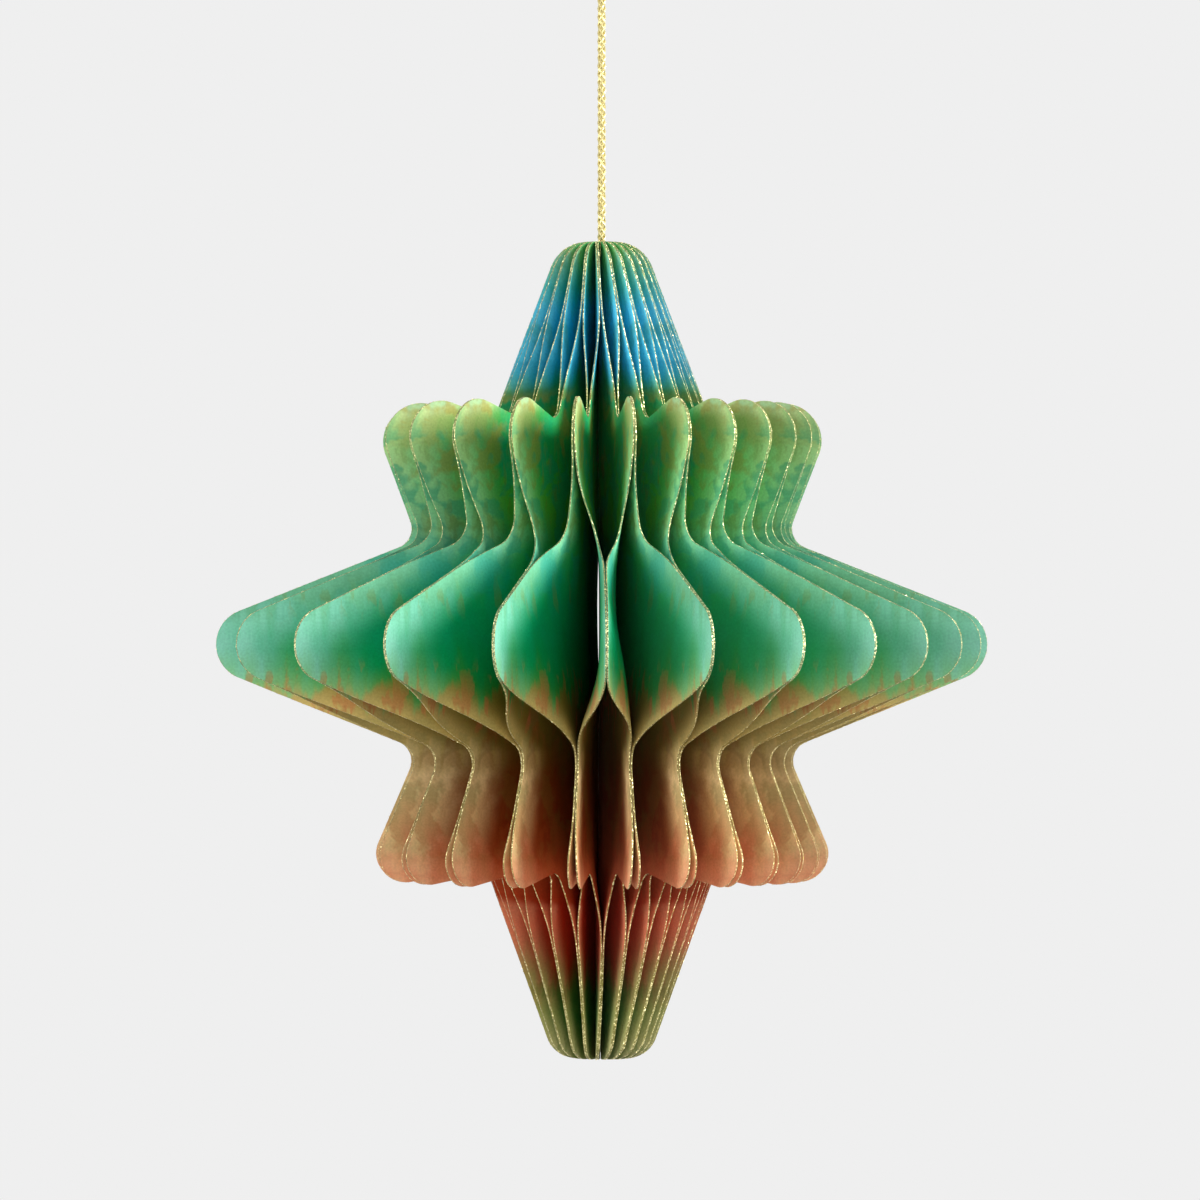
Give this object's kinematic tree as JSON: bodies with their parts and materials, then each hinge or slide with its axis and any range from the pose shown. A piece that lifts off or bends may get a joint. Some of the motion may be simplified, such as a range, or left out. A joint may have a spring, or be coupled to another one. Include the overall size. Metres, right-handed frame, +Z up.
{
  "type": "hanging paper star decoration",
  "caption": "Hanging star of bent printed card leaves, glued to each other in turn around a spine, with gold edges and a braided gold hanging cord that ends in a knotted loop.",
  "frame": {"origin": "on the star's vertical axis at half its height, crown to foot, without the cord", "axes": "+Z up along the spine and the cord; -Y is the front; +X is to the right seen from the front"},
  "size_m": [0.1412, 0.1411, 0.2138],
  "materials": {
    "printed_card": "matte printed card with glittered gold edges",
    "gold_cord": "braided metallic gold thread"
  },
  "bodies": {
    "root": {"leaf_01": "printed_card", "leaf_02": "printed_card", "leaf_03": "printed_card", "leaf_04": "printed_card", "leaf_05": "printed_card", "leaf_06": "printed_card", "leaf_07": "printed_card", "leaf_08": "printed_card", "leaf_09": "printed_card", "leaf_10": "printed_card", "leaf_11": "printed_card", "leaf_12": "printed_card", "leaf_13": "printed_card", "leaf_14": "printed_card", "leaf_15": "printed_card", "leaf_16": "printed_card", "leaf_17": "printed_card", "leaf_18": "printed_card", "leaf_19": "printed_card", "leaf_20": "printed_card", "leaf_21": "printed_card", "leaf_22": "printed_card", "leaf_23": "printed_card", "leaf_24": "printed_card", "leaf_25": "printed_card", "leaf_26": "printed_card", "leaf_27": "printed_card", "leaf_28": "printed_card", "leaf_29": "printed_card", "leaf_30": "printed_card", "leaf_31": "printed_card", "leaf_32": "printed_card", "leaf_33": "printed_card", "leaf_34": "printed_card", "leaf_35": "printed_card", "leaf_36": "printed_card", "leaf_37": "printed_card", "leaf_38": "printed_card", "leaf_39": "printed_card", "leaf_40": "printed_card", "leaf_41": "printed_card", "leaf_42": "printed_card", "leaf_43": "printed_card", "leaf_44": "printed_card", "leaf_45": "printed_card", "leaf_46": "printed_card", "leaf_47": "printed_card", "leaf_48": "printed_card", "leaf_49": "printed_card", "leaf_50": "printed_card", "leaf_51": "printed_card", "leaf_52": "printed_card", "hanging_cord": "gold_cord", "hanging_loop": "gold_cord", "crown_knot": "gold_cord", "loop_knot": "gold_cord"}
  },
  "joints": []
}
